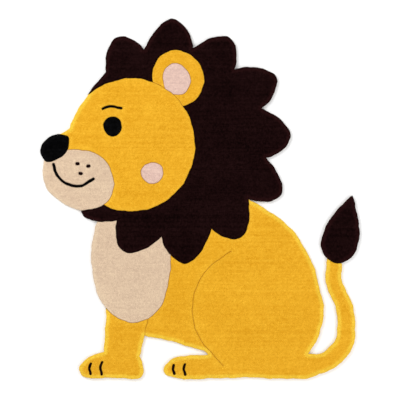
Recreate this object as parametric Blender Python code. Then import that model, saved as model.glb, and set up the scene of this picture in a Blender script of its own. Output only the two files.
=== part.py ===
"""A shaped rug for a child's room: one piece of tufted wool cloth that lies flat on the floor.

The rug is a seated lion seen from the side, put together from ellipses, ribbons, a leaf and short
smooth outlines. The pile is cut level, its rim is rounded over, and a V-shaped line is carved into
it wherever two fields of the design meet. X is to the right of the design, Y towards its top, and Z
up out of the floor. Run it with: blender --background --python part.py
"""

import math
from typing import NamedTuple

import bmesh
import bpy
import numpy as np

# The tufted cloth, in metres.
BACKING = 0.003
PILE = 0.011
THICKNESS = BACKING + PILE
RIM_ROUND = 0.003
RIM_SEGMENTS = 2
GROOVE_WIDTH = 0.006
GROOVE_DEPTH = 0.005
# Each line is this much shallower than the one before, so that no two bottoms cross at one height.
GROOVE_RISE = 0.00005
# The bar that cuts a groove has its widest line this far above the pile.
CUTTER_LIFT = 0.001

# Outlines are drawn with this many points, followed in even steps, then thinned to this error.
ELLIPSE_POINTS = 240
LEAF_POINTS = 100
ROUND_END_POINTS = 24
PIECES_BETWEEN_POINTS = 24
STEP = 0.002
OUTLINE_ERROR = 0.0003
# Points of one solid that are this close together are one point.
WELD = 0.00001
# Faces that turn less than this are one flat face, and a rim's normals differ by more than this.
FLAT_DEG = 0.05
RIM_TURN = 0.5
# Sharp corners of a carved line are rounded this many times over, so that a cutter can follow it.
EASING_ROUNDS = 4
# A carved line that ends on another one runs past the middle of it by this much.
JUNCTION_OVERLAP = 0.001
HALVINGS = 20
# A boundary with no field this far outside it is the rug's rim, and isn't carved.
RIM_PROBE = 0.004
# A carved line runs on along the rim this far, so that it cuts right through the rounded edge.
RUN_OUT = 0.008

MUSTARD = (0.840, 0.423, 0.023, 1.0)
MATT = 0.95

# The mane is a disc with a ring of leaf-shaped locks on it.
MANE_CENTRE = (-0.095, 0.190)
MANE_RADIUS = 0.318
MANE_START_DEG = -150.0
MANE_SPAN_DEG = 284.0
LOCK_FULLNESS = 1.5
LOCK_LEAN = 0.8
LOCK_TIP = 0.08
LOCK_STEPS = 120


class Lock(NamedTuple):
    """One lock of the mane: its share of the ring, and its tip's distance from the centre."""

    share: float
    reach: float


LOCKS = (
    Lock(0.88, 0.388),
    Lock(1.00, 0.404),
    Lock(1.06, 0.412),
    Lock(1.00, 0.396),
    Lock(0.96, 0.408),
    Lock(1.04, 0.399),
    Lock(1.02, 0.411),
    Lock(0.98, 0.398),
    Lock(1.04, 0.410),
    Lock(0.94, 0.396),
)


class Ellipse(NamedTuple):
    """An ellipse of the design: its centre, its half sizes and its turn in degrees."""

    x: float
    y: float
    half_width: float
    half_height: float
    turn: float = 0.0


HAUNCH = Ellipse(0.188, -0.375, 0.222, 0.218)
EAR = Ellipse(-0.075, 0.400, 0.086, 0.094, 20)
INNER_EAR = Ellipse(-0.080, 0.396, 0.046, 0.054, 20)
SKULL = Ellipse(-0.230, 0.178, 0.212, 0.222)
CHEEK = Ellipse(-0.160, 0.085, 0.038, 0.036)
EYE = Ellipse(-0.292, 0.240, 0.031, 0.034)


class Section(NamedTuple):
    """One section of a ribbon: the middle of it, and the ribbon's width there."""

    x: float
    y: float
    width: float


FORELEG = (
    Section(-0.235, -0.250, 0.170),
    Section(-0.245, -0.400, 0.140),
    Section(-0.265, -0.530, 0.120),
)
TAIL = (
    Section(0.300, -0.545, 0.070),
    Section(0.412, -0.546, 0.066),
    Section(0.478, -0.480, 0.062),
    Section(0.480, -0.370, 0.058),
    Section(0.442, -0.270, 0.054),
    Section(0.452, -0.170, 0.050),
)


class Leaf(NamedTuple):
    """A leaf of the design: where it starts, its length and width, and the way it points."""

    x: float
    y: float
    length: float
    width: float
    turn: float


TUFT = Leaf(0.444, -0.215, 0.235, 0.125, 75.0)
LEAF_BELLY = 0.62
LEAF_FULLNESS = 0.85

# The points that each other outline passes through, in order.
TORSO = (
    (-0.310, -0.060), (-0.350, -0.200), (-0.330, -0.340), (-0.265, -0.430), (-0.120, -0.470),
    (0.100, -0.520), (0.330, -0.480), (0.395, -0.340), (0.370, -0.210), (0.290, -0.090),
    (0.150, 0.000), (-0.100, 0.060),
)
FOREPAW = (
    (-0.195, -0.596), (-0.200, -0.530), (-0.280, -0.505), (-0.365, -0.525), (-0.405, -0.565),
    (-0.385, -0.596), (-0.290, -0.596),
)
HIND_PAW = (
    (-0.125, -0.575), (-0.095, -0.535), (0.000, -0.520), (0.140, -0.540), (0.340, -0.545),
    (0.400, -0.575), (0.370, -0.596), (0.150, -0.596), (-0.095, -0.596),
)
CHEST = (
    (-0.330, -0.060), (-0.362, -0.160), (-0.358, -0.260), (-0.320, -0.360), (-0.225, -0.415),
    (-0.140, -0.370), (-0.105, -0.270), (-0.110, -0.130), (-0.200, -0.050),
)
SNOUT = (
    (-0.330, 0.335), (-0.405, 0.255), (-0.460, 0.218), (-0.508, 0.190), (-0.515, 0.140),
    (-0.490, 0.045), (-0.445, 0.020), (-0.385, 0.000), (-0.300, 0.010), (-0.220, 0.150),
)
MUZZLE = (
    (-0.400, 0.162), (-0.460, 0.158), (-0.516, 0.136), (-0.524, 0.085), (-0.512, 0.032),
    (-0.462, -0.014), (-0.385, -0.040), (-0.312, -0.014), (-0.288, 0.060), (-0.325, 0.134),
)
NOSE = (
    (-0.438, 0.206), (-0.500, 0.206), (-0.536, 0.160), (-0.508, 0.120), (-0.452, 0.148),
)
# One more line is carved inside the body's own colour, with both ends free.
THIGH_LINE = (
    (0.105, -0.172), (0.010, -0.250), (-0.028, -0.365), (0.000, -0.470), (0.080, -0.560),
)


class Field(NamedTuple):
    """A field of one yarn. It covers the fields before it where they overlap."""

    name: str
    loops: list


def even_steps(points, closed):
    """The polyline through points, with a new point every STEP or so along it."""
    points = np.asarray(points, float)
    if closed:
        points = np.vstack([points, points[:1]])
    lengths = np.linalg.norm(np.diff(points, axis=0), axis=1)
    along = np.concatenate([[0.0], np.cumsum(lengths)])
    count = max(4, round(along[-1] / STEP))
    places = np.linspace(0.0, along[-1], count + 1)[: count + (not closed)]
    return np.stack([np.interp(places, along, points[:, axis]) for axis in (0, 1)], axis=1)


def smooth(points, closed=True):
    """A centripetal Catmull-Rom curve through points, in even steps."""
    points = np.asarray(points, float)
    if closed:
        knots = np.vstack([points[-1:], points, points[:2]])
    else:
        before, after = 2 * points[0] - points[1], 2 * points[-1] - points[-2]
        knots = np.vstack([before, points, after])
    curve = []
    for a, b, c, d in zip(knots, knots[1:], knots[2:], knots[3:]):
        spans = [max(math.dist(p, q), STEP) ** 0.5 for p, q in ((a, b), (b, c), (c, d))]
        t0, t1, t2, t3 = np.concatenate([[0.0], np.cumsum(spans)])
        t = np.linspace(t1, t2, PIECES_BETWEEN_POINTS, endpoint=False)[:, None]
        ab = (t1 - t) / (t1 - t0) * a + (t - t0) / (t1 - t0) * b
        bc = (t2 - t) / (t2 - t1) * b + (t - t1) / (t2 - t1) * c
        cd = (t3 - t) / (t3 - t2) * c + (t - t2) / (t3 - t2) * d
        abc = (t2 - t) / (t2 - t0) * ab + (t - t0) / (t2 - t0) * bc
        bcd = (t3 - t) / (t3 - t1) * bc + (t - t1) / (t3 - t1) * cd
        curve.append((t2 - t) / (t2 - t1) * abc + (t - t1) / (t2 - t1) * bcd)
    if not closed:
        curve.append(points[-1:])
    return even_steps(np.vstack(curve), closed)


def placed(points, x, y, turn):
    """Points turned by so many degrees about the origin, then moved to (x, y)."""
    cosine, sine = math.cos(math.radians(turn)), math.sin(math.radians(turn))
    return points @ np.array([[cosine, sine], [-sine, cosine]]) + (x, y)


def ellipse(shape):
    """The outline of an Ellipse."""
    angle = np.linspace(0.0, math.tau, ELLIPSE_POINTS, endpoint=False)
    points = np.stack([shape.half_width * np.cos(angle), shape.half_height * np.sin(angle)], axis=1)
    return even_steps(placed(points, shape.x, shape.y, shape.turn), True)


def leaf(shape):
    """The outline of a Leaf, pointed at its far end and round at its near one."""
    share = np.linspace(0.0, 1.0, LEAF_POINTS)
    half = shape.width / 2 * np.sin(math.pi * share**LEAF_BELLY).clip(0) ** LEAF_FULLNESS
    side = np.stack([share * shape.length, -half], axis=1)
    points = np.vstack([side, side[-2:0:-1] * (1, -1)])
    return even_steps(placed(points, shape.x, shape.y, shape.turn), True)


def ribbon(sections):
    """The outline of a band of changing width, with round ends."""
    middle = smooth([(s.x, s.y) for s in sections], closed=False)
    share = np.linspace(0, len(sections) - 1, len(middle))
    half = np.interp(share, range(len(sections)), [s.width / 2 for s in sections])[:, None]
    along = np.gradient(middle, axis=0)
    along /= np.linalg.norm(along, axis=1)[:, None]
    across = np.stack([-along[:, 1], along[:, 0]], axis=1)
    turn = np.linspace(0.0, math.pi, ROUND_END_POINTS)[1:-1, None]
    far_end = middle[-1] + half[-1] * (-np.cos(turn) * across[-1] + np.sin(turn) * along[-1])
    near_end = middle[0] + half[0] * (np.cos(turn) * across[0] - np.sin(turn) * along[0])
    right, left = middle - half * across, middle + half * across
    return even_steps(np.vstack([right, far_end, left[::-1], near_end]), True)


def mane():
    """The outline of the mane: round at the front, and a row of leaning locks behind."""
    unit = MANE_SPAN_DEG / sum(lock.share for lock in LOCKS)
    angles, radii = [], []
    start = MANE_START_DEG
    for lock in LOCKS:
        share = np.linspace(0.0, 1.0, LOCK_STEPS, endpoint=False)
        slant = np.sqrt((2 * share**LOCK_LEAN - 1) ** 2 + LOCK_TIP**2) / math.hypot(1, LOCK_TIP)
        angles.append(start + share * lock.share * unit)
        radii.append(MANE_RADIUS + (lock.reach - MANE_RADIUS) * (1 - slant**LOCK_FULLNESS))
        start += lock.share * unit
    front = np.linspace(start, MANE_START_DEG + 360, LOCK_STEPS, endpoint=False)
    angle = np.radians(np.concatenate([*angles, front]))
    radius = np.concatenate([*radii, np.full(len(front), MANE_RADIUS)])
    points = np.stack([radius * np.cos(angle), radius * np.sin(angle)], axis=1)
    return even_steps(points + MANE_CENTRE, True)


def design():
    """The fields of the design, from the lowest to the one that covers all others."""
    return [
        Field("body", [ribbon(TAIL), smooth(TORSO), ellipse(HAUNCH), smooth(HIND_PAW)]),
        Field("foreleg", [ribbon(FORELEG), smooth(FOREPAW)]),
        Field("tuft", [leaf(TUFT)]),
        Field("chest", [smooth(CHEST)]),
        Field("mane", [mane()]),
        Field("ear", [ellipse(EAR)]),
        Field("inner_ear", [ellipse(INNER_EAR)]),
        Field("face", [ellipse(SKULL), smooth(SNOUT)]),
        Field("muzzle", [smooth(MUZZLE)]),
        Field("cheek", [ellipse(CHEEK)]),
        Field("nose", [smooth(NOSE)]),
        Field("eye", [ellipse(EYE)]),
    ]


def thinned(points, closed):
    """As few of the points as keep the polyline within OUTLINE_ERROR of all of them."""
    line = np.vstack([points, points[:1]]) if closed else points
    kept, start, end = [0], 0, 2
    while end < len(line):
        chord = line[end] - line[start]
        between = line[start + 1 : end] - line[start]
        error = np.abs(chord[0] * between[:, 1] - chord[1] * between[:, 0]).max()
        if error > OUTLINE_ERROR * math.hypot(*chord):
            start = end - 1
            kept.append(start)
        end += 1
    if not closed:
        kept.append(len(line) - 1)
    return line[kept]


def inside(points, loop):
    """Whether each of the points lies inside the closed loop."""
    x, y = points[:, :1], points[:, 1:]
    ax, ay = loop.T
    bx, by = np.roll(ax, -1), np.roll(ay, -1)
    level = np.where(by == ay, 1.0, by - ay)
    crossing = ax + (y - ay) * (bx - ax) / level
    return np.logical_xor.reduce(((ay > y) != (by > y)) & (x < crossing), axis=1)


def covered(points, loops):
    """Whether each of the points lies inside any of the loops."""
    result = np.zeros(len(points), bool)
    for loop in loops:
        result |= inside(points, loop)
    return result


def outward(loop):
    """The unit normals of a closed loop, pointing out of it."""
    along = np.roll(loop, -1, axis=0) - np.roll(loop, 1, axis=0)
    x, y = loop.T
    turns_left = np.sum(x * np.roll(y, -1) - np.roll(x, -1) * y) > 0
    normal = np.stack([along[:, 1], -along[:, 0]], axis=1) * (1 if turns_left else -1)
    return normal / np.linalg.norm(normal, axis=1)[:, None]


def covered_end(seen, unseen, loops):
    """The point just past where the way from a seen point to an unseen one enters the loops."""
    for _ in range(HALVINGS):
        middle = (seen + unseen) / 2
        if covered(middle[None], loops)[0]:
            unseen = middle
        else:
            seen = middle
    way = unseen - seen
    return unseen + way * JUNCTION_OVERLAP / math.hypot(*way)


def eased(line, closed):
    """A line with its sharp corners rounded."""
    for _ in range(EASING_ROUNDS):
        soft = (np.roll(line, 1, axis=0) + 2 * line + np.roll(line, -1, axis=0)) / 4
        if not closed:
            soft[[0, -1]] = line[[0, -1]]
        line = soft
    return line


def visible_runs(loop, hidden, on_rim, covers):
    """The stretches of a closed loop that are carved, each with whether it is the whole loop."""
    seen = ~hidden & ~on_rim
    if seen.all():
        return [(eased(loop, True), True)]
    size, reach = len(loop), round(RUN_OUT / STEP)
    carved = ~hidden & np.any([np.roll(seen, by) for by in range(-reach, reach + 1)], axis=0)
    runs = []
    for start in np.flatnonzero(carved & ~np.roll(carved, 1)):
        end = start
        while carved[(end + 1) % size]:
            end += 1
        before, after = (start - 1) % size, (end + 1) % size
        run = loop[np.arange(start, end + 1) % size]
        if hidden[before]:
            run = np.vstack([covered_end(run[0], loop[before], covers), run])
        if hidden[after]:
            run = np.vstack([run, covered_end(run[-1], loop[after], covers)])
        runs.append((eased(run, False), False))
    return runs


def carved_lines(fields):
    """Every line that is carved, as (points, closed)."""
    lines = [(smooth(THIGH_LINE, closed=False), False)]
    for level, field in enumerate(fields):
        below = [loop for other in fields[:level] for loop in other.loops]
        above = [loop for other in fields[level + 1 :] for loop in other.loops]
        for loop in field.loops:
            covers = above + [other for other in field.loops if other is not loop]
            hidden = covered(loop, covers)
            on_rim = ~covered(loop + RIM_PROBE * outward(loop), below)
            lines += visible_runs(loop, hidden, on_rim, covers)
    return lines


def curve_object(name, points, closed):
    """A polyline as a curve object, in the plane z = 0."""
    data = bpy.data.curves.new(name, "CURVE")
    spline = data.splines.new("POLY")
    spline.points.add(len(points) - 1)
    spline.use_cyclic_u = closed
    for point, (x, y) in zip(spline.points, points):
        point.co = (x, y, 0.0, 1.0)
    return bpy.data.objects.new(name, data)


def as_mesh(obj, collection):
    """The curve object as a mesh object at the origin, with its loose seams welded."""
    collection.objects.link(obj)
    bpy.context.view_layer.update()
    graph = bpy.context.evaluated_depsgraph_get()
    mesh = bpy.data.meshes.new_from_object(obj.evaluated_get(graph))
    mesh.transform(obj.matrix_world)
    name = obj.name
    bpy.data.objects.remove(obj)
    made = bpy.data.objects.new(name, mesh)
    work = bmesh.new()
    work.from_mesh(mesh)
    bmesh.ops.remove_doubles(work, verts=work.verts, dist=WELD)
    bmesh.ops.recalc_face_normals(work, faces=work.faces)
    work.to_mesh(mesh)
    work.free()
    collection.objects.link(made)
    return made


def slab(name, loop, collection):
    """A closed loop as a slab of the rug's full thickness, standing on the floor."""
    curve = curve_object(name, thinned(loop, True), True)
    curve.data.dimensions = "2D"
    curve.data.fill_mode = "BOTH"
    curve.data.extrude = THICKNESS / 2
    curve.location.z = THICKNESS / 2
    return as_mesh(curve, collection)


def groove_cutter(name, points, closed, depth, collection):
    """A bar of diamond section along a line, the lower half of it in the pile, that cuts a V."""
    half_height = depth + CUTTER_LIFT
    half_width = GROOVE_WIDTH / 2 * half_height / depth
    curve = curve_object(name, thinned(points, closed), closed)
    curve.data.dimensions = "3D"
    curve.data.bevel_depth = half_width
    curve.data.bevel_resolution = 0
    curve.data.use_fill_caps = True
    cutter = as_mesh(curve, collection)
    for vertex in cutter.data.vertices:
        vertex.co.z = vertex.co.z * half_height / half_width + THICKNESS + CUTTER_LIFT
    cutter.hide_render = True
    cutter.display_type = "WIRE"
    return cutter


def boolean(obj, operation, collection):
    """Joins to obj, or cuts from it, everything in the collection."""
    modifier = obj.modifiers.new(operation.title(), "BOOLEAN")
    modifier.operation = operation
    modifier.operand_type = "COLLECTION"
    modifier.collection = collection
    modifier.solver = "EXACT"
    return modifier


def centred(objects, obj):
    """Parents the objects to an empty, placed so that the middle of obj's outline is at x = y = 0."""
    corners = np.array(obj.bound_box)
    middle = (corners.min(axis=0) + corners.max(axis=0)) / 2
    empty = bpy.data.objects.new("design_middle", None)
    empty.location = (-middle[0], -middle[1], 0.0)
    obj.users_collection[0].objects.link(empty)
    for child in objects:
        child.parent = empty


def new_collection(name):
    """A collection of the scene."""
    collection = bpy.data.collections.new(name)
    bpy.context.scene.collection.children.link(collection)
    return collection


def apply_modifiers(obj):
    """Replaces the object's mesh by what its modifiers make of it."""
    bpy.context.view_layer.update()
    graph = bpy.context.evaluated_depsgraph_get()
    mesh = bpy.data.meshes.new_from_object(obj.evaluated_get(graph))
    obj.modifiers.clear()
    obj.data = mesh


def round_rim(mesh):
    """Merges the flat faces that the joined slabs left, and rounds the rim of the upper one."""
    work = bmesh.new()
    work.from_mesh(mesh)
    bmesh.ops.dissolve_limit(
        work, angle_limit=math.radians(FLAT_DEG), verts=work.verts, edges=work.edges
    )
    rim = [
        edge
        for edge in work.edges
        if min(v.co.z for v in edge.verts) > THICKNESS / 2 and not edge.is_boundary
        and abs(edge.link_faces[0].normal.z - edge.link_faces[1].normal.z) > RIM_TURN
    ]
    bmesh.ops.bevel(
        work, geom=rim, affect="EDGES", offset=RIM_ROUND, offset_type="OFFSET",
        segments=RIM_SEGMENTS, profile=0.5, clamp_overlap=False,
    )
    work.to_mesh(mesh)
    work.free()


def wool():
    """Mustard wool, the yarn of most of the rug's face and body."""
    material = bpy.data.materials.new("wool_mustard")
    material.use_nodes = True
    shader = material.node_tree.nodes["Principled BSDF"]
    shader.inputs["Base Color"].default_value = MUSTARD
    shader.inputs["Roughness"].default_value = MATT
    shader.inputs["Metallic"].default_value = 0.0
    return material


def main():
    for obj in list(bpy.data.objects):
        bpy.data.objects.remove(obj)
    rug_collection = new_collection("lion_rug")
    cutters = new_collection("cutters")
    slabs = new_collection("slabs")
    fields = design()
    loops = [(field.name, loop) for field in fields for loop in field.loops]
    rug = slab("rug", loops[0][1], rug_collection)
    for name, loop in loops[1:]:
        slab(name + "_slab", loop, slabs)
    boolean(rug, "UNION", slabs)
    apply_modifiers(rug)
    for obj in list(slabs.objects):
        bpy.data.objects.remove(obj)
    bpy.data.collections.remove(slabs)
    round_rim(rug.data)
    for number, (points, closed) in enumerate(carved_lines(fields)):
        depth = GROOVE_DEPTH - number * GROOVE_RISE
        groove_cutter(f"groove_{number:02d}", points, closed, depth, cutters)
    boolean(rug, "DIFFERENCE", cutters)
    centred([rug, *cutters.objects], rug)
    rug.data.materials.clear()
    rug.data.materials.append(wool())


main()
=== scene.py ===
"""The looks of a shaped rug of tufted wool: a seated lion that lies flat on a pale floor.

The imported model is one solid, and the lines that are carved into it part its level top into one
patch for each field of the design. Here each field is a closed mesh of cut tufts, grown out from
its patch to the middle of the line around it, and all of them stand in one backing cloth.
"""

import math
from typing import NamedTuple

import bpy
import numpy as np
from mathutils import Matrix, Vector, kdtree
from mathutils.geometry import delaunay_2d_cdt


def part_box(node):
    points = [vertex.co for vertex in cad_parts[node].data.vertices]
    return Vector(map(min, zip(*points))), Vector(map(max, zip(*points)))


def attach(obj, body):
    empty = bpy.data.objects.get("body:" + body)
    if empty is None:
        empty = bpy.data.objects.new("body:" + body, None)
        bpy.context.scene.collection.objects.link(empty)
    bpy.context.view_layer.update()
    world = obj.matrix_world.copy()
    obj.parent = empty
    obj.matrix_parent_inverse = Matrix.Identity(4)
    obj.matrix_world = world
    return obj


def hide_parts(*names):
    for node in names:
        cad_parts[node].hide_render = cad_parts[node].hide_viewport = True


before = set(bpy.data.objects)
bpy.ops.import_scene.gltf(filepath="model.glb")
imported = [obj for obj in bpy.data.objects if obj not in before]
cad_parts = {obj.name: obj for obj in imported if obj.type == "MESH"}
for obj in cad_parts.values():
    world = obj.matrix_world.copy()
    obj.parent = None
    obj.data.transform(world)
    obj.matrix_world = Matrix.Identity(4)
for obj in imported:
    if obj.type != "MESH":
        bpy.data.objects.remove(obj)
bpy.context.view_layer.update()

SEED = 11

# The cloth, in metres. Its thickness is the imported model's.
BACKING = 0.003
BACKING_INSET = 0.0012
RIM_ROUND = 0.003
# A hole between patches that is thinner than this is a line carved inside one field.
CREASE_WIDTH = 0.008
# Two fields that meet are this far apart.
SEAM = 0.0003

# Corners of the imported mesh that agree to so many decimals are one, and a level face is this level.
WELD_DECIMALS = 6
LEVEL_TOLERANCE = 1e-5

# Outlines are followed in fine steps, and the rings of a pile's edge in coarser ones.
TRACE = 0.0005
RING_STEP = 0.0017
# A mitre is no longer than this, and what it is divided by is no less than its floor.
MITRE_LIMIT = 6.0
MITRE_FLOOR = 0.05
# A point of a grown outline stays if it is at least this share of the growth away from the old one.
GROWTH_KEPT = 0.93

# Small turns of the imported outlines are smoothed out, in steps of this size, so many times over.
SMOOTH_STEP = 0.001
SMOOTH_ROUNDS = 90
# A turn of more than this stays sharp.
SHARP_DEG = 25.0
# Corners of neighbouring outlines that turn this much and are this close are made to meet.
JOINED_DEG = 20.0
JUNCTION = 0.0055

# A ribbon is a thin line: the points along it, the rounds that smooth them, and the points of an end.
RIBBON_POINTS = 60
RIBBON_ROUNDS = 60
END_POINTS = 16

# The triangulation keeps the triangles inside its edges, and welds points that are this close.
INSIDE_EDGES = 1
WELD = 1e-7
# Points are tested against outlines so many at a time, which spares memory.
CHUNK = 2000

# Tufts stand in rows along each edge, this far in from it, and then in straight rows.
CONTOUR_ROWS = (0.0026, 0.0060, 0.0094)
ROW_STEP = 0.0036
# The step between the tufts of a row, and the least distance between any two tufts.
STITCH = 0.0032
CLOSEST = 0.0023
# How far a tuft strays along a straight row, the share of that across it, and how far by an edge.
JITTER = 0.0007
ACROSS_SHARE = 0.5
CONTOUR_JITTER = JITTER / 3
# How far a straight row wanders to its side.
WANDER = 0.0007

# The surface: pits between tufts, tufts of uneven height, and edges that fall away into a line.
PIT = 0.0009
PIT_REACH = 0.0025
UNEVEN = 0.00016
SHOULDER = 0.0008
BORDER_DROP = 0.0040
BORDER_SOFTNESS = 0.0009
# The ribs of the rug's rim, each times a share between these two.
RIB = 0.00025
RIB_SPREAD = (0.2, 1.5)
# A pile's foot is set in from its top by this.
FLARE = 0.0006

# How far in the painted highlight of an edge reaches, along a carved line and along the rug's rim.
LINE_HIGHLIGHT = 0.30
LINE_HIGHLIGHT_REACH = 0.006
RIM_HIGHLIGHT_REACH = 0.0125
RIM_HIGHLIGHT_SOFTNESS = 0.0016
# How much the tone differs from row to row and from tuft to tuft.
ROW_TONE = 0.6
TUFT_TONE = 1.0

# The photograph is 400 pixels square, and the rug is 361 of them long.
PIXEL = 1.200 / 361
FRAME_PIXELS = 400
RUG_CENTRE_PIXEL = (199.5, 199.0)
LENS = 150.0
SENSOR = 36.0
FARTHEST_SEEN = 50.0

WORLD_LIGHT = 0.775
FLOOR_WHITE = 0.95
FLOOR_ROUGHNESS = 0.8
FLOOR_HALF = 6.0
FLOOR_DEPTH = 0.0003
SQUARE = ((-1, -1), (1, -1), (1, 1), (-1, 1))


class Lamp(NamedTuple):
    """A soft light: its place, the side of its square, and its power in watts."""

    name: str
    place: tuple
    size: float
    power: float


LAMPS = (
    Lamp("key", (-1.6, 1.4, 2.4), 1.6, 47.5),
    Lamp("fill", (1.9, -1.0, 2.2), 2.0, 27.5),
)


class Stray(NamedTuple):
    """One wave of the way a hand strays from a drawn line: its size, length and phase."""

    size: float
    wave: float
    phase: float


STRAYS = (
    Stray(0.0009, 0.130, 0.4),
    Stray(0.0008, 0.057, 2.1),
    Stray(0.0004, 0.031, 4.4),
    Stray(0.0002, 0.017, 1.2),
)


class Ripple(NamedTuple):
    """One wave of a straight row's wandering: its radians a metre each way, its phase and its size."""

    along: float
    across: float
    phase: float
    size: float


RIPPLES = (
    Ripple(21.0, 60.0, 0.0, 1.0),
    Ripple(57.0, -33.0, 1.3, 0.6),
)


class Shift(NamedTuple):
    """How much the hue and the depth of a colour change."""

    hue: float
    depth: float


class Yarn(NamedTuple):
    """A colour of wool: how uneven it and its fibres are, and how much painted shade darkens it between
    tufts.

    Paler is how its colour shifts as its tone rises. The edge's tone and shift are the painted
    highlight that it gets beside a carved line and at the rug's rim.
    """

    colour: tuple
    contrast: float
    fibre: float
    crevice_shade: float
    paler: Shift
    edge_highlight: float
    edge: Shift
    gloss: float
    sheen: float


YARNS = {
    "mustard": Yarn(
        colour=(0.868, 0.490, 0.0358), contrast=0.80, fibre=0.55, crevice_shade=-0.30,
        paler=Shift(0.055, -0.11), edge_highlight=0.09, edge=Shift(0.016, -0.020), gloss=0.10, sheen=0.08,
    ),
    # The brown's strong unevenness and its greyer lighter patches are partly painted highlights on its
    # fibre tips.
    "brown": Yarn(
        colour=(0.0126, 0.0038, 0.0039), contrast=3.7, fibre=0.85, crevice_shade=-0.60,
        paler=Shift(0.0, -0.15), edge_highlight=0.56, edge=Shift(0.0, 0.12), gloss=0.02, sheen=0.0,
    ),
    "cream": Yarn(
        colour=(0.758, 0.588, 0.400), contrast=0.90, fibre=0.80, crevice_shade=-0.30,
        paler=Shift(0.055, -0.11), edge_highlight=0.05, edge=Shift(0.002, -0.020), gloss=0.10, sheen=0.08,
    ),
    "pink": Yarn(
        colour=(0.791, 0.573, 0.472), contrast=0.90, fibre=0.80, crevice_shade=-0.30,
        paler=Shift(0.055, -0.11), edge_highlight=0.05, edge=Shift(0.002, -0.020), gloss=0.10, sheen=0.08,
    ),
    "black": Yarn(
        colour=(0.0022, 0.0022, 0.0025), contrast=7.0, fibre=1.00, crevice_shade=-0.60,
        paler=Shift(0.0, 0.0), edge_highlight=0.60, edge=Shift(0.0, 0.0), gloss=0.02, sheen=0.0,
    ),
}


class Grain(NamedTuple):
    """A layer of uneven tone: its waves a metre each way, its detail, and its strength."""

    scale: tuple
    detail: float
    strength: float


# Uneven tone of the wool itself, partly also painted shading of pile that leans different ways.
GRAINS_AND_NAP_SHADE = (
    Grain((8.0, 8.0, 8.0), 2.0, 0.13),
    Grain((38.0, 46.0, 40.0), 2.0, 0.11),
    Grain((90.0, 260.0, 90.0), 1.0, 0.20),
    Grain((300.0, 110.0, 110.0), 1.0, 0.16),
)
FIBRE = Grain((1000.0, 1000.0, 100.0), 3.0, 1.0)
# Yarn ends: their size, and the painted shade that darkens the wool away from their middles.
YARN_ENDS_AND_SHADE = Grain((820.0, 820.0, 70.0), 0.0, -0.22)
# The middle values of noise and of the distance from a yarn end, and the hue that changes nothing.
NOISE_MIDDLE = 0.5
ENDS_MIDDLE = 0.55
SAME_HUE = 0.5
# How strongly the tone of a row or a tuft shows, and the darkest that wool gets.
TUFT_STRENGTH = 0.037
DARKEST_TONE = 0.15
# The fine relief of wool is its fibres, less this much of its yarn ends.
ENDS_RELIEF = 0.8
FIBRE_BUMP = 0.7
FIBRE_RELIEF = 0.0005
WOOL_ROUGHNESS = 0.92
SHEEN_ROUGHNESS = 0.45

CANVAS_COLOUR = (0.58, 0.49, 0.36)
CANVAS_ROUGHNESS = 0.9
THREADS = 220.0
WEAVE_MIDDLE = 0.25
WEAVE_STRENGTH = 0.30
WEAVE_BUMP = 0.6
WEAVE_RELIEF = 0.0005
SLUB = Grain((60.0, 60.0, 60.0), 4.0, 0.25)


class Field(NamedTuple):
    """A field of the design: its name, its yarn, and a point inside it."""

    name: str
    yarn: str
    x: float
    y: float


FIELDS = (
    Field("body", "mustard", 0.200, -0.300),
    Field("foreleg", "mustard", -0.260, -0.500),
    Field("tuft", "brown", 0.470, -0.120),
    Field("chest", "cream", -0.220, -0.250),
    Field("mane", "brown", 0.100, 0.200),
    Field("ear", "mustard", -0.015, 0.400),
    Field("inner_ear", "pink", -0.080, 0.410),
    Field("face", "mustard", -0.200, 0.170),
    Field("muzzle", "cream", -0.400, 0.060),
    Field("cheek", "pink", -0.157, 0.087),
    Field("nose", "black", -0.490, 0.170),
    Field("eye", "black", -0.289, 0.242),
)


class Stroke(NamedTuple):
    """A thin line, or a dot, that is tufted in another yarn inside one of the fields."""

    name: str
    field: str
    yarn: str
    width: float
    points: tuple


STROKES = (
    Stroke(
        "mouth", "muzzle", "black", 0.0085,
        ((-0.486, 0.114), (-0.474, 0.074), (-0.440, 0.046), (-0.395, 0.040), (-0.352, 0.066)),
    ),
    Stroke("whisker_dot_0", "muzzle", "brown", 0.010, ((-0.408, 0.118), (-0.404, 0.118))),
    Stroke("whisker_dot_1", "muzzle", "brown", 0.010, ((-0.372, 0.108), (-0.368, 0.108))),
    Stroke("whisker_dot_2", "muzzle", "brown", 0.010, ((-0.396, 0.086), (-0.392, 0.086))),
    Stroke("brow", "face", "black", 0.0075, ((-0.322, 0.300), (-0.292, 0.311), (-0.260, 0.302))),
    Stroke("toe_0", "foreleg", "brown", 0.0075, ((-0.362, -0.583), (-0.367, -0.566), (-0.360, -0.549))),
    Stroke("toe_1", "foreleg", "brown", 0.0075, ((-0.325, -0.583), (-0.330, -0.563), (-0.323, -0.543))),
    Stroke("toe_2", "body", "brown", 0.0075, ((-0.083, -0.583), (-0.089, -0.569), (-0.084, -0.554))),
    Stroke("toe_3", "body", "brown", 0.0075, ((-0.047, -0.583), (-0.053, -0.566), (-0.047, -0.549))),
)


def cad_mesh(node):
    """The corners of a CAD node's mesh, welded, and its triangles."""
    mesh = node.data
    mesh.calc_loop_triangles()
    points = np.empty(len(mesh.vertices) * 3)
    mesh.vertices.foreach_get("co", points)
    triangles = np.empty(len(mesh.loop_triangles) * 3, int)
    mesh.loop_triangles.foreach_get("vertices", triangles)
    rounded = np.round(points.reshape(-1, 3), WELD_DECIMALS)
    corners, index = np.unique(rounded, axis=0, return_inverse=True)
    return corners, index.reshape(-1)[triangles].reshape(-1, 3)


def pairs(ring):
    """Each member of a ring with the one after it."""
    return zip(ring, ring[1:] + ring[:1])


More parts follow.
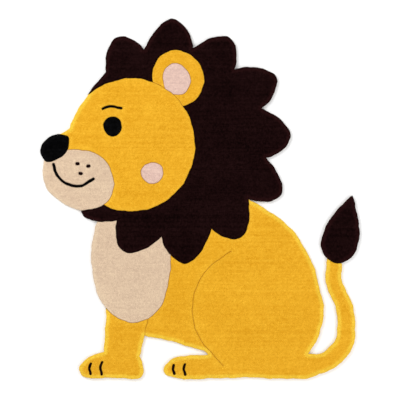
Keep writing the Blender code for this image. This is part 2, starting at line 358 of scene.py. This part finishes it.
def level_loops(corners, triangles, height):
    """The outlines of the level faces at a height, each running with its face on the left."""
    off_level = np.abs(corners[triangles][:, :, 2] - height)
    level = triangles[np.all(off_level < LEVEL_TOLERANCE, axis=1)]
    first, second, third = (corners[level[:, corner], :2] for corner in range(3))
    faces_up = np.cross(second - first, third - first) > 0
    level[~faces_up] = level[~faces_up][:, ::-1]
    edges = {(a, b) for face in level.tolist() for a, b in pairs(face)}
    following = {a: b for a, b in edges if (b, a) not in edges}
    loops = []
    while following:
        start, at = following.popitem()
        loop = [start]
        while at != start:
            loop.append(at)
            at = following.pop(at)
        loops.append(corners[loop, :2])
    return loops


def area(loop):
    """The area inside a loop, less than zero if it runs clockwise."""
    x, y = loop.T
    return np.sum(x * np.roll(y, -1) - np.roll(x, -1) * y) / 2


def inside(points, loops):
    """Whether each point is inside an odd number of the loops."""
    x, y = points[:, :1], points[:, 1:]
    result = np.zeros(len(points), bool)
    for loop in loops:
        ax, ay = loop.T
        bx, by = np.roll(ax, -1), np.roll(ay, -1)
        level = np.where(by == ay, 1.0, by - ay)
        crossing = ax + (y - ay) * (bx - ax) / level
        result ^= np.logical_xor.reduce(((ay > y) != (by > y)) & (x < crossing), axis=1)
    return result


def read_off(line, marks, places):
    """The points of a line at places, where the marks say how far along its own points are."""
    return np.stack([np.interp(places, marks, line[:, axis]) for axis in (0, 1)], axis=1)


def resampled(line, step, closed=True):
    """A line with even steps, an even number of them if it is closed."""
    if closed:
        line = np.vstack([line, line[:1]])
    along = np.concatenate([[0.0], np.cumsum(np.linalg.norm(np.diff(line, axis=0), axis=1))])
    count = max(2, round(along[-1] / step / 2)) * 2
    places = np.linspace(0.0, along[-1], count + 1)[: count + (not closed)]
    return read_off(line, along, places)


def left_normals(loop):
    """The unit normals of a loop's points, to the left of the way it runs."""
    along = np.roll(loop, -1, axis=0) - np.roll(loop, 1, axis=0)
    normal = np.stack([-along[:, 1], along[:, 0]], axis=1)
    return normal / np.linalg.norm(normal, axis=1)[:, None]


def strayed(points):
    """Points moved a little, as a hand strays from a line, and alike where they lie together."""
    x, y = points.T
    aside, ahead = x.copy(), y.copy()
    for stray in STRAYS:
        aside += stray.size * np.sin(math.tau * y / stray.wave + stray.phase)
        ahead += stray.size * np.sin(math.tau * x / stray.wave - stray.phase)
    return np.stack([aside, ahead], axis=1)


def tree_of(points):
    """A search tree of points in the plane."""
    tree = kdtree.KDTree(len(points))
    for number, (x, y) in enumerate(points):
        tree.insert((x, y, 0.0), number)
    tree.balance()
    return tree


def distances(points, tree):
    """How far each point is from the nearest one in the tree."""
    return np.array([tree.find((x, y, 0.0))[2] for x, y in points])


def grown(loop, by):
    """A loop moved to the right of the way it runs, with its corners kept sharp."""
    ahead = np.roll(loop, -1, axis=0) - loop
    ahead /= np.linalg.norm(ahead, axis=1)[:, None]
    right = np.stack([ahead[:, 1], -ahead[:, 0]], axis=1)
    before = np.roll(right, 1, axis=0)
    mitre = (before + right) / (1 + np.sum(before * right, axis=1)).clip(MITRE_FLOOR)[:, None]
    length = np.linalg.norm(mitre, axis=1)[:, None]
    mitre *= np.minimum(1.0, MITRE_LIMIT / length)
    moved = loop + by * mitre
    clear = distances(moved, tree_of(resampled(loop, TRACE))) > GROWTH_KEPT * by
    return moved[clear]


def sharp_corners(line, least=SHARP_DEG):
    """Whether a closed line turns by more than the least angle at each of its points."""
    ahead = np.roll(line, -1, axis=0) - line
    before = np.roll(ahead, 1, axis=0)
    across = before[:, 0] * ahead[:, 1] - before[:, 1] * ahead[:, 0]
    return np.abs(np.arctan2(across, np.sum(before * ahead, axis=1))) > math.radians(least)


def ring_of(loop):
    """A loop in even steps, for the edge of a pile, with its sharp corners kept."""
    corners = []
    for number in np.flatnonzero(sharp_corners(loop)):
        if all(math.dist(loop[number], loop[other]) > RING_STEP for other in corners):
            corners.append(number)
    if not corners:
        return resampled(loop, RING_STEP)
    ends = [*corners, corners[0] + len(loop)]
    twice = np.vstack([loop, loop])
    stretches = [twice[start : end + 1] for start, end in zip(ends, ends[1:])]
    return np.vstack([resampled(stretch, RING_STEP, closed=False)[:-1] for stretch in stretches])


def join_corners(outlines):
    """Moves the corners of different outlines together where they almost meet."""
    corners = [
        (owner, number)
        for owner, outline in enumerate(outlines)
        for number in np.flatnonzero(sharp_corners(outline, JOINED_DEG))
    ]
    owners = np.array([owner for owner, _ in corners])
    places = np.array([outlines[owner][number] for owner, number in corners])
    for (owner, number), place in zip(corners, places):
        near = (np.linalg.norm(places - place, axis=1) < JUNCTION) & (owners != owner)
        outlines[owner][number] = np.vstack([places[near], place]).mean(axis=0)


def curved(line, closed=True):
    """A polyline with its small turns smoothed out, and its sharp corners and free ends kept."""
    ahead = np.roll(line, -1, axis=0) - line
    sharp = sharp_corners(line)
    if not closed:
        ahead = ahead[:-1]
        sharp[[0, -1]] = True
    points, kept = [], []
    for corner, is_sharp, way in zip(line, sharp, ahead):
        count = math.ceil(math.hypot(*way) / SMOOTH_STEP)
        points.append(corner + np.linspace(0, 1, count, endpoint=False)[:, None] * way)
        kept += [is_sharp] + [False] * (count - 1)
    if not closed:
        points.append(line[-1:])
        kept.append(True)
    points, kept = np.vstack(points), np.array(kept)
    for _ in range(SMOOTH_ROUNDS):
        soft = (np.roll(points, 1, axis=0) + 2 * points + np.roll(points, -1, axis=0)) / 4
        soft[kept] = points[kept]
        points = soft
    return points


def centreline(loop):
    """The middle of a long thin loop, from one of its ends to the other."""
    even = resampled(loop, 2 * TRACE)
    spread = even - even.mean(axis=0)
    start = int(np.argmax(np.sum(spread**2, axis=1)))
    gap = np.linalg.norm(even - even[start], axis=1)
    end = (int(np.argmax(gap)) - start) % len(even)
    turned = np.roll(even, -start, axis=0)
    one_side, other_side = turned[: end + 1], np.vstack([turned[end:], turned[:1]])[::-1]
    places = np.linspace(0.0, 1.0, len(one_side))
    other_side = read_off(other_side, np.linspace(0, 1, len(other_side)), places)
    return (one_side + other_side) / 2


def ribbon(points, width):
    """The outline of a line of even width with round ends, through points."""
    knots = np.array(points)
    middle = read_off(knots, range(len(knots)), np.linspace(0, len(knots) - 1, RIBBON_POINTS))
    for _ in range(RIBBON_ROUNDS):
        middle[1:-1] = (middle[:-2] + 2 * middle[1:-1] + middle[2:]) / 4
    middle = resampled(middle, TRACE, closed=False)
    along = np.gradient(middle, axis=0)
    along /= np.linalg.norm(along, axis=1)[:, None]
    across = np.stack([-along[:, 1], along[:, 0]], axis=1)
    turn = np.linspace(0.0, math.pi, END_POINTS)[1:-1, None]
    half = width / 2
    far_end = middle[-1] + half * (-np.cos(turn) * across[-1] + np.sin(turn) * along[-1])
    near_end = middle[0] + half * (np.cos(turn) * across[0] - np.sin(turn) * along[0])
    outline = [middle - half * across, far_end, (middle + half * across)[::-1], near_end]
    return resampled(np.vstack(outline), TRACE)


class Spots:
    """Points that keep a least distance from each other."""

    def __init__(self):
        self.points = []
        self.rows = []
        self.cells = {}

    def add(self, x, y, row):
        """Takes a point, unless it is too close to one that is there."""
        column, line = math.floor(x / CLOSEST), math.floor(y / CLOSEST)
        for near_column in (column - 1, column, column + 1):
            for near_line in (line - 1, line, line + 1):
                for other in self.cells.get((near_column, near_line), ()):
                    if math.dist((x, y), self.points[other]) < CLOSEST:
                        return
        self.cells.setdefault((column, line), []).append(len(self.points))
        self.points.append((x, y))
        self.rows.append(row)


def wander(x, y):
    """How far a straight row strays to its side at a place, as a hand with a tufting gun does."""
    return WANDER * sum(
        ripple.size * math.sin(ripple.along * x + ripple.across * y + ripple.phase)
        for ripple in RIPPLES
    )


def contour_tufts(spots, loops, creases, tree, dice):
    """Adds the rows of tufts that follow a field's edges and its carved lines."""
    every = round(STITCH / TRACE)
    sides = [(loop, True, 1) for loop in loops]
    sides += [(crease, False, side) for crease in creases for side in (1, -1)]
    row = 0
    for depth in CONTOUR_ROWS:
        for line, closed, side in sides:
            fine = resampled(line, TRACE, closed)
            moved = fine + side * depth * left_normals(fine)
            keep = distances(moved, tree) > depth - SEAM
            keep &= inside(moved, loops)
            if not closed:
                keep[[0, -1]] = False
            phase = int(dice.integers(every))
            for number in np.flatnonzero(keep):
                if number % every == phase:
                    spots.add(*(moved[number] + dice.normal(0, CONTOUR_JITTER, 2)), row)
            row += 1
    return row


def straight_tufts(spots, row, loops, tree, dice):
    """Adds the straight rows of tufts that fill a field inside its contour rows."""
    low, high = np.vstack(loops).min(axis=0), np.vstack(loops).max(axis=0)
    limit = CONTOUR_ROWS[-1] + CLOSEST
    for level in np.arange(low[1], high[1], ROW_STEP):
        crossings = sorted(x for loop in loops for x in crossing_places(loop, level))
        for left, right in zip(crossings[::2], crossings[1::2]):
            for start in np.arange(left + dice.uniform(0, STITCH), right, STITCH):
                x = start + dice.uniform(-JITTER, JITTER)
                y = level + wander(x, level) + dice.uniform(-JITTER, JITTER) * ACROSS_SHARE
                if tree.find((x, y, 0.0))[2] > limit:
                    spots.add(x, y, row)
        row += 1


def tufts(loops, creases, tree, dice):
    """Where the tufts of a field stand, and the number of the row that each is in."""
    spots = Spots()
    row = contour_tufts(spots, loops, creases, tree, dice)
    straight_tufts(spots, row, loops, tree, dice)
    return np.array(spots.points), np.array(spots.rows)


def crossing_places(loop, y):
    """Where a level line crosses a loop."""
    after = np.roll(loop, -1, axis=0)
    cut = (loop[:, 1] > y) != (after[:, 1] > y)
    start, way = loop[cut], after[cut] - loop[cut]
    return (start[:, 0] + (y - start[:, 1]) * way[:, 0] / way[:, 1]).tolist()


def triangulated(points, rings):
    """Triangles between points, inside rings, which are lists of the points' numbers."""
    edges = [edge for ring in rings for edge in pairs(ring)]
    made = delaunay_2d_cdt([Vector(point) for point in points], edges, [], INSIDE_EDGES, WELD)
    faces, origins = made[2:4]
    source = [origin[0] if origin else -1 for origin in origins]
    triangles = np.array([[source[number] for number in face] for face in faces])
    triangles = triangles[(triangles >= 0).all(axis=1)]
    on_ring = np.zeros(len(points), bool)
    on_ring[[number for ring in rings for number in ring]] = True
    unsure = np.flatnonzero(on_ring[triangles].all(axis=1))
    middles = points[triangles[unsure]].mean(axis=1)
    outlines = [points[ring] for ring in rings]
    chunks = [
        inside(middles[start : start + CHUNK], outlines)
        for start in range(0, len(middles), CHUNK)
    ]
    keep = np.ones(len(triangles), bool)
    keep[unsure] = np.concatenate(chunks) if chunks else False
    return triangles[keep]


def cells(triangles, first_pit):
    """The faces of a surface with a pit in each triangle, and a fan of faces about each point."""
    pit = first_pit + np.arange(len(triangles))
    owner = {}
    for number, (a, b, c) in zip(pit.tolist(), triangles.tolist()):
        owner[a, b] = owner[b, c] = owner[c, a] = number
    faces = []
    for (a, b), left in owner.items():
        right = owner.get((b, a))
        if right is None:
            faces.append((a, b, left))
        elif a < b:
            faces.append((a, right, left))
            faces.append((b, left, right))
    return faces


class Rug:
    """What the CAD model says about the rug: its patches, its outline, and how thick it is."""

    def __init__(self, node):
        low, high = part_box(node.name)
        self.top = high[2]
        corners, triangles = cad_mesh(node)
        self.patches = level_loops(corners, triangles, self.top)
        self.outline = [strayed(curved(loop)) for loop in level_loops(corners, triangles, low[2])]
        self.rim = tree_of(np.vstack([resampled(loop, TRACE) for loop in self.outline]))

    def field(self, x, y):
        """The outlines of the field about a spot, its outer one first, and its carved lines."""
        spot = np.array([[x, y]])
        around = [patch for patch in self.patches if area(patch) > 0 and inside(spot, [patch])[0]]
        outer = min(around, key=area)
        outlines, creases = [outer], []
        for patch in self.patches:
            if area(patch) < 0 and inside(patch[:1], [outer])[0] and not self.nested(patch, outer):
                (creases if is_thin(patch) else outlines).append(patch)
        outlines = [grown(outline, RIM_ROUND - SEAM / 2) for outline in outlines]
        return outlines, [centreline(crease) for crease in creases]

    def nested(self, hole, outer):
        """Whether another patch lies between the hole and the outer loop."""
        return any(
            0 < area(patch) < area(outer)
            and inside(hole[:1], [patch])[0]
            and inside(patch[:1], [outer])[0]
            for patch in self.patches
        )


def is_thin(hole):
    """Whether a hole between patches is only a carved line."""
    length = np.linalg.norm(hole - np.roll(hole, 1, axis=0), axis=1).sum()
    return -2 * area(hole) / length < CREASE_WIDTH / 2


def numbered(rings):
    """For each ring, the list of its points' numbers, counted through all the rings."""
    numbers, start = [], 0
    for ring in rings:
        numbers.append(list(range(start, start + len(ring))))
        start += len(ring)
    return numbers


def ribbed(ring, rug, dice):
    """A ring with its points in and out by turns where it is the rug's rim, as tufts are."""
    at_rim = distances(ring, rug.rim) < 2 * SEAM
    sharp = sharp_corners(ring)
    by_corner = sharp | np.roll(sharp, 1) | np.roll(sharp, -1)
    side = np.where(np.arange(len(ring)) % 2, 1.0, -1.0) * (at_rim & ~by_corner)
    size = RIB * dice.uniform(*RIB_SPREAD, len(ring))
    return ring + (size * side)[:, None] * left_normals(ring)


def painted_edge_highlight(points, depth, rug):
    """How much of the painted highlight of an edge each point has."""
    at_line = LINE_HIGHLIGHT * np.exp(-depth / LINE_HIGHLIGHT_REACH)
    at_rim = 1 / (1 + np.exp((distances(points, rug.rim) - RIM_HIGHLIGHT_REACH) / RIM_HIGHLIGHT_SOFTNESS))
    return np.maximum(at_line, at_rim)


def pile_faces(points, triangles, rings):
    """The faces of a pile: its tufts and pits, its sides, and the underside that closes it."""
    faces = cells(triangles, len(points))
    first_foot = len(points) + len(triangles)
    for ring in rings:
        for a, b in pairs(ring):
            faces.append((first_foot + a, first_foot + b, b, a))
    feet = sum(len(ring) for ring in rings)
    for a, b, c in (triangulated(points[:feet], rings) + first_foot).tolist():
        faces.append((c, b, a))
    return faces


def pile_heights(depth, pit_depth, feet, rug, dice):
    """How high the points, the pits and so many feet of a pile are."""
    uneven = dice.normal(0, UNEVEN, len(depth)) * (depth > SHOULDER)
    height = rug.top + uneven - BORDER_DROP * np.exp(-depth / BORDER_SOFTNESS)
    pit_height = rug.top - BORDER_DROP * np.exp(-pit_depth / BORDER_SOFTNESS)
    pit_height -= PIT * np.minimum(1, pit_depth / PIT_REACH)
    return np.concatenate([height, pit_height, np.full(feet, BACKING)])


def tuft_tones(rows, count, dice):
    """The tone of so many points, the last of which are the tufts of the rows."""
    tone = np.zeros(count)
    row_tone = dice.normal(0, ROW_TONE, rows.max() + 1)
    tone[-len(rows):] = row_tone[rows] + dice.normal(0, TUFT_TONE, len(rows))
    return tone


def pile(name, loops, creases, rug, yarn, dice):
    """A closed field of cut tufts that stands on the backing cloth."""
    rings = [ring_of(loop) for loop in loops]
    edge = tree_of(np.vstack([resampled(loop, TRACE) for loop in loops] + creases))
    centres, rows = tufts(loops, creases, edge, dice)
    shoulders = [ring + SHOULDER * left_normals(ring) for ring in rings]
    valleys = [resampled(crease, RING_STEP, closed=False) for crease in creases]
    rings = [ribbed(ring, rug, dice) for ring in rings]
    numbers = numbered(rings)
    points = np.vstack([*rings, *shoulders, *valleys, centres])
    triangles = triangulated(points, numbers)
    pits = points[triangles].mean(axis=1)
    feet = np.vstack([ring + FLARE * left_normals(ring) for ring in rings])
    places = np.vstack([points, pits, feet])

    depth, pit_depth = distances(points, edge), distances(pits, edge)
    depth[: len(feet)] = 0.0
    heights = pile_heights(depth, pit_depth, len(feet), rug, dice)
    tone = tuft_tones(rows, len(points), dice)
    none = np.zeros(len(feet))
    shown = {
        "tone": np.concatenate([tone, tone[triangles].mean(axis=1), none]),
        # Painted shade: full in the pits between tufts and down the pile's sides, fading in from its
        # edges.
        "crevice_shade": np.concatenate([np.exp(-depth / SHOULDER), np.ones(len(pits) + len(feet))]),
        # The edge value weighs the painted highlight along the carved lines and the rim.
        "edge": painted_edge_highlight(places, np.concatenate([depth, pit_depth, none]), rug),
    }
    faces = pile_faces(points, triangles, numbers)
    return mesh_object(name, np.column_stack([places, heights]), faces, shown, yarn)


def mesh_object(name, vertices, faces, shown, material):
    """A smooth mesh object of the vertices that its faces use, with values for its material."""
    used = np.unique([number for face in faces for number in face])
    renumber = np.zeros(len(vertices), int)
    renumber[used] = np.arange(len(used))
    mesh = bpy.data.meshes.new(name)
    faces = [[int(renumber[number]) for number in face] for face in faces]
    mesh.from_pydata(vertices[used].tolist(), [], faces)
    mesh.shade_smooth()
    for label, values in shown.items():
        mesh.attributes.new(label, "FLOAT", "POINT").data.foreach_set("value", values[used])
    mesh.materials.append(material)
    made = bpy.data.objects.new(name, mesh)
    bpy.context.scene.collection.objects.link(made)
    return made


def node_maker(material):
    """A function that adds a node to the material and sets its inputs or links them."""
    tree = material.node_tree

    def add(kind, inputs=(), **settings):
        node = tree.nodes.new(kind)
        for key, value in settings.items():
            setattr(node, key, value)
        for key, value in dict(inputs).items():
            if isinstance(value, bpy.types.NodeSocket):
                tree.links.new(value, node.inputs[key])
            else:
                node.inputs[key].default_value = value
        return node

    return add


def weighted_sum(add, start, terms):
    """The start value plus each socket of the terms, less its middle, times its weight."""
    total = start
    for socket, middle, weight in terms:
        inputs = {0: socket, 1: weight, 2: -weight * middle}
        part = add("ShaderNodeMath", inputs, operation="MULTIPLY_ADD").outputs[0]
        total = add("ShaderNodeMath", {0: part, 1: total}, operation="ADD").outputs[0]
    return total


def noise(add, place, grain):
    """A layer of unevenness, from 0 to 1 with its middle at one half."""
    scaled = add("ShaderNodeMapping", {"Vector": place, "Scale": grain.scale}).outputs["Vector"]
    inputs = {"Vector": scaled, "Scale": 1.0, "Detail": grain.detail}
    return add("ShaderNodeTexNoise", inputs).outputs["Fac"]


def yarn_ends(add, place):
    """How far a place is from the middle of the yarn end that it is on."""
    inputs = {"Vector": place, "Scale": YARN_ENDS_AND_SHADE.scale}
    scaled = add("ShaderNodeMapping", inputs).outputs["Vector"]
    return add("ShaderNodeTexVoronoi", {"Vector": scaled, "Scale": 1.0}).outputs["Distance"]


def attribute(add, name):
    """A value that the mesh carries."""
    return add("ShaderNodeAttribute", attribute_name=name).outputs["Fac"]


def wool(name, yarn):
    """Cut wool pile: matt, with a painted highlight at its edges, painted shade between its tufts and
    its yarn ends, and uneven in tone, partly with painted shading of its pile's lay.
    """
    material = bpy.data.materials.new(name)
    material.use_nodes = True
    add = node_maker(material)
    shader = material.node_tree.nodes["Principled BSDF"]
    place = add("ShaderNodeTexCoord").outputs["Object"]
    fibre, ends = noise(add, place, FIBRE), yarn_ends(add, place)
    # How much painted highlight an edge gives here, in tone, hue and depth.
    edge = attribute(add, "edge")
    # Uneven tone, partly the wool's own and partly painted shading of its pile's lay.
    terms = [
        (noise(add, place, grain), NOISE_MIDDLE, yarn.contrast * grain.strength)
        for grain in GRAINS_AND_NAP_SHADE
    ]
    terms += [
        (attribute(add, "tone"), 0.0, yarn.contrast * TUFT_STRENGTH),
        # Painted shade between the tufts and down into the carved lines.
        (attribute(add, "crevice_shade"), 0.0, yarn.crevice_shade),
        (fibre, NOISE_MIDDLE, yarn.fibre * FIBRE.strength),
        # Painted shade between the yarn ends.
        (ends, ENDS_MIDDLE, YARN_ENDS_AND_SHADE.strength),
        # Painted highlight beside carved lines and at the rim.
        (edge, 0.0, yarn.edge_highlight),
    ]
    tone = weighted_sum(add, 1.0, terms)
    tone = add("ShaderNodeMath", {0: tone, 1: DARKEST_TONE}, operation="MAXIMUM").outputs[0]
    hue = weighted_sum(add, SAME_HUE, [(tone, 1.0, yarn.paler.hue), (edge, 0.0, yarn.edge.hue)])
    depth = weighted_sum(add, 1.0, [(tone, 1.0, yarn.paler.depth), (edge, 0.0, yarn.edge.depth)])
    inputs = {"Color": (*yarn.colour, 1.0), "Hue": hue, "Saturation": depth, "Value": tone}
    colour = add("ShaderNodeHueSaturation", inputs)
    relief = weighted_sum(
        add, 0.0, [(fibre, NOISE_MIDDLE, 1.0), (ends, ENDS_MIDDLE, -ENDS_RELIEF)]
    )
    inputs = {"Height": relief, "Strength": FIBRE_BUMP, "Distance": FIBRE_RELIEF}
    bump = add("ShaderNodeBump", inputs)
    material.node_tree.links.new(colour.outputs["Color"], shader.inputs["Base Color"])
    material.node_tree.links.new(bump.outputs["Normal"], shader.inputs["Normal"])
    shader.inputs["Roughness"].default_value = WOOL_ROUGHNESS
    shader.inputs["Specular IOR Level"].default_value = yarn.gloss
    shader.inputs["Sheen Weight"].default_value = yarn.sheen
    shader.inputs["Sheen Roughness"].default_value = SHEEN_ROUGHNESS
    shader.inputs["Sheen Tint"].default_value = (*yarn.colour, 1.0)
    return material


def canvas():
    """The plain-weave cotton of the backing cloth."""
    material = bpy.data.materials.new("backing_canvas")
    material.use_nodes = True
    add = node_maker(material)
    shader = material.node_tree.nodes["Principled BSDF"]
    place = add("ShaderNodeTexCoord").outputs["Object"]
    across = add("ShaderNodeTexWave", {"Vector": place, "Scale": THREADS}, bands_direction="X")
    along = add("ShaderNodeTexWave", {"Vector": place, "Scale": THREADS}, bands_direction="Y")
    inputs = {0: across.outputs["Fac"], 1: along.outputs["Fac"]}
    weave = add("ShaderNodeMath", inputs, operation="MULTIPLY").outputs[0]
    terms = [
        (weave, WEAVE_MIDDLE, WEAVE_STRENGTH),
        (noise(add, place, SLUB), NOISE_MIDDLE, SLUB.strength),
    ]
    inputs = {"Color": (*CANVAS_COLOUR, 1.0), "Value": weighted_sum(add, 1.0, terms)}
    colour = add("ShaderNodeHueSaturation", inputs)
    inputs = {"Height": weave, "Strength": WEAVE_BUMP, "Distance": WEAVE_RELIEF}
    bump = add("ShaderNodeBump", inputs)
    material.node_tree.links.new(colour.outputs["Color"], shader.inputs["Base Color"])
    material.node_tree.links.new(bump.outputs["Normal"], shader.inputs["Normal"])
    shader.inputs["Roughness"].default_value = CANVAS_ROUGHNESS
    return material


def backing_cloth(rug):
    """The cloth that the tufts stand in, as a closed sheet a little smaller than the pile."""
    rings = [ring_of(loop) for loop in rug.outline]
    rings = [ring if area(ring) > 0 else ring[::-1] for ring in rings]
    numbers = numbered(rings)
    triangles = triangulated(np.vstack(rings), numbers).tolist()
    rings = [ring + BACKING_INSET * left_normals(ring) for ring in rings]
    points = np.vstack(rings)
    count = len(points)
    faces = []
    for a, b, c in triangles:
        faces.append((a + count, b + count, c + count))
        faces.append((c, b, a))
    for ring in numbers:
        for a, b in pairs(ring):
            faces.append((a, b, b + count, a + count))
    low = np.column_stack([points, np.zeros(count)])
    high = np.column_stack([points, np.full(count, BACKING)])
    cloth = mesh_object("backing_cloth", np.vstack([low, high]), faces, {}, canvas())
    return cloth, float(sum(area(ring) for ring in rings))


def floor():
    """A plain white floor."""
    material = bpy.data.materials.new("floor_white")
    material.use_nodes = True
    shader = material.node_tree.nodes["Principled BSDF"]
    shader.inputs["Base Color"].default_value = (FLOOR_WHITE, FLOOR_WHITE, FLOOR_WHITE, 1.0)
    shader.inputs["Roughness"].default_value = FLOOR_ROUGHNESS
    shader.inputs["Specular IOR Level"].default_value = 0.0
    corners = [(x * FLOOR_HALF, y * FLOOR_HALF, -FLOOR_DEPTH) for x, y in SQUARE]
    made = mesh_object("floor", np.array(corners), [(0, 1, 2, 3)], {}, material)


def lights():
    """Plain soft light, from above and from all round."""
    world = bpy.data.worlds.new("studio")
    world.use_nodes = True
    background = world.node_tree.nodes["Background"]
    background.inputs["Color"].default_value = (1.0, 1.0, 1.0, 1.0)
    background.inputs["Strength"].default_value = WORLD_LIGHT
    bpy.context.scene.world = world
    for lamp in LAMPS:
        data = bpy.data.lights.new(lamp.name, "AREA")
        data.size = lamp.size
        data.energy = lamp.power
        light = bpy.data.objects.new(lamp.name, data)
        light.location = lamp.place
        light.rotation_euler = (-Vector(lamp.place)).to_track_quat("-Z", "Y").to_euler()
        bpy.context.scene.collection.objects.link(light)


def camera(rug):
    """A long lens straight above the rug, which is as large in the frame as in the photograph."""
    data = bpy.data.cameras.new("camera")
    data.lens = LENS
    data.sensor_width = SENSOR
    span = FRAME_PIXELS * PIXEL
    eye = bpy.data.objects.new("camera", data)
    middle = FRAME_PIXELS / 2
    eye.location = (
        (middle - RUG_CENTRE_PIXEL[0]) * PIXEL,
        -(middle - RUG_CENTRE_PIXEL[1]) * PIXEL,
        rug.top + span * LENS / SENSOR,
    )
    data.clip_end = FARTHEST_SEEN
    bpy.context.scene.collection.objects.link(eye)
    bpy.context.scene.camera = eye


def main():
    """Builds the rug's piles and cloth, and sets them up as in the photograph."""
    rug = Rug(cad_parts["rug"])
    yarns = {key: wool("wool_" + key, yarn) for key, yarn in YARNS.items()}
    dice = np.random.default_rng(SEED)
    made = []
    fields = [rug.field(field.x, field.y) for field in FIELDS]
    join_corners([outline for outlines, _ in fields for outline in outlines])
    for field, (outlines, creases) in zip(FIELDS, fields):
        loops = [strayed(curved(outline)) for outline in outlines]
        creases = [strayed(curved(crease, closed=False)) for crease in creases]
        for stroke in STROKES:
            if stroke.field == field.name:
                loops.append(strayed(ribbon(stroke.points, stroke.width + SEAM))[::-1])
        piece = pile("pile_" + field.name, loops, creases, rug, yarns[field.yarn], dice)
        made.append(piece)
    for stroke in STROKES:
        loops = [strayed(ribbon(stroke.points, stroke.width - SEAM))]
        piece = pile("pile_" + stroke.name, loops, [], rug, yarns[stroke.yarn], dice)
        made.append(piece)
    cloth, cloth_area = backing_cloth(rug)
    for piece in [cloth, *made]:
        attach(piece, "root")
    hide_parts("rug")
    floor()
    lights()
    camera(rug)
    bpy.context.scene.view_settings.view_transform = "Standard"


main()
